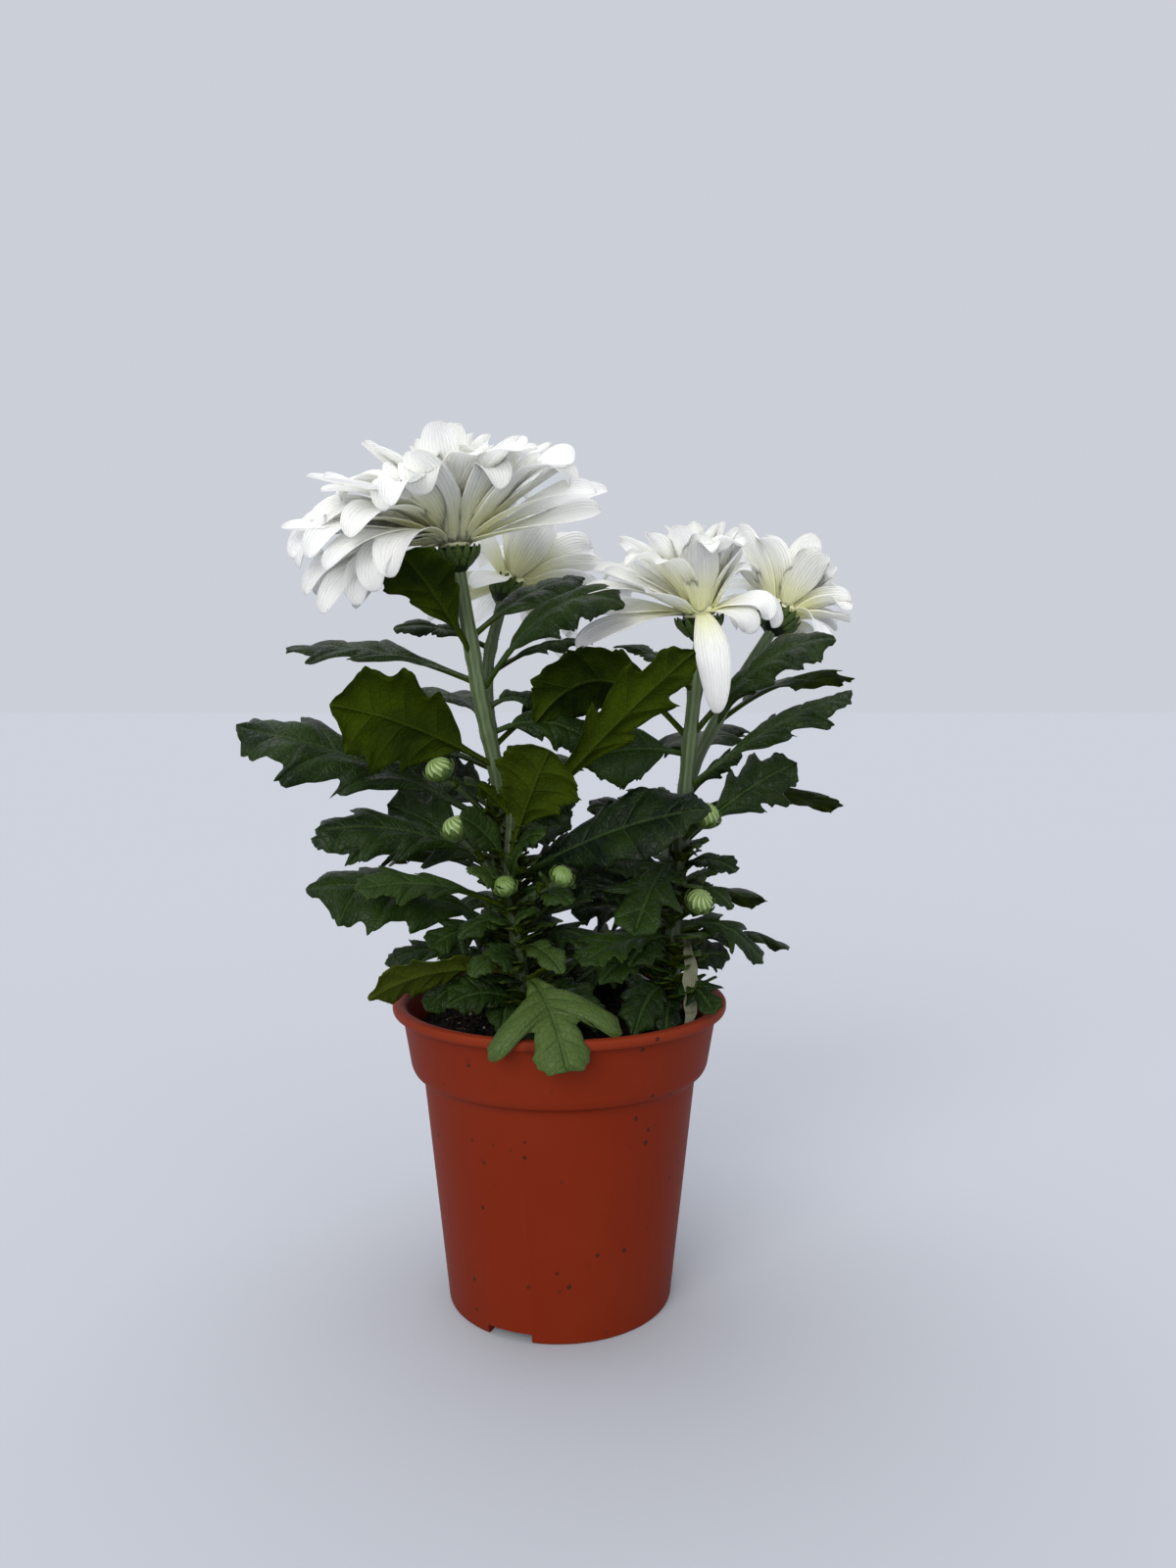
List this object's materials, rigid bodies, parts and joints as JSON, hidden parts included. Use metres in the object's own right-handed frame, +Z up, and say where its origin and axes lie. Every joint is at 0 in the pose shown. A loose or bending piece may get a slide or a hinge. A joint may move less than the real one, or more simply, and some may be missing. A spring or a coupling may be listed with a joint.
{
  "type": "potted chrysanthemum",
  "caption": "Flowering pot plant: leafy stems with lobed leaves, white double blooms and closed buds, growing in soil in a collared plastic grow pot.",
  "frame": {"origin": "on the pot's axis at the foot of the pot, where it stands", "axes": "+Z up; -Y is the front, as in the picture; +X is to the right seen from the front"},
  "size_m": [0.2265, 0.1644, 0.3039],
  "materials": {
    "pot": "matt moulded terracotta-coloured plastic",
    "soil": "damp dark potting mix",
    "leaf": "satin dark green leaf with a paler, duller underside",
    "dried_leaf": "dry papery beige leaf",
    "petal": "soft white petals, cream to yellow-green at their foot",
    "bud": "pale green closed bud with whitish petal tips"
  },
  "bodies": {
    "root": {"pot": "pot", "soil": "soil", "leafy_stem_a": "leaf", "leafy_stem_b": "leaf", "leafy_stem_c": "leaf", "leafy_stem_d": "leaf", "side_shoot_e": "leaf", "dried_leaf": "dried_leaf", "bloom_a": "petal", "bloom_b": "petal", "bloom_c": "petal", "bloom_d": "petal", "bud_1": "bud", "bud_2": "bud", "bud_3": "bud", "bud_4": "bud", "bud_5": "bud", "bud_6": "bud", "bud_7": "bud"}
  },
  "joints": []
}
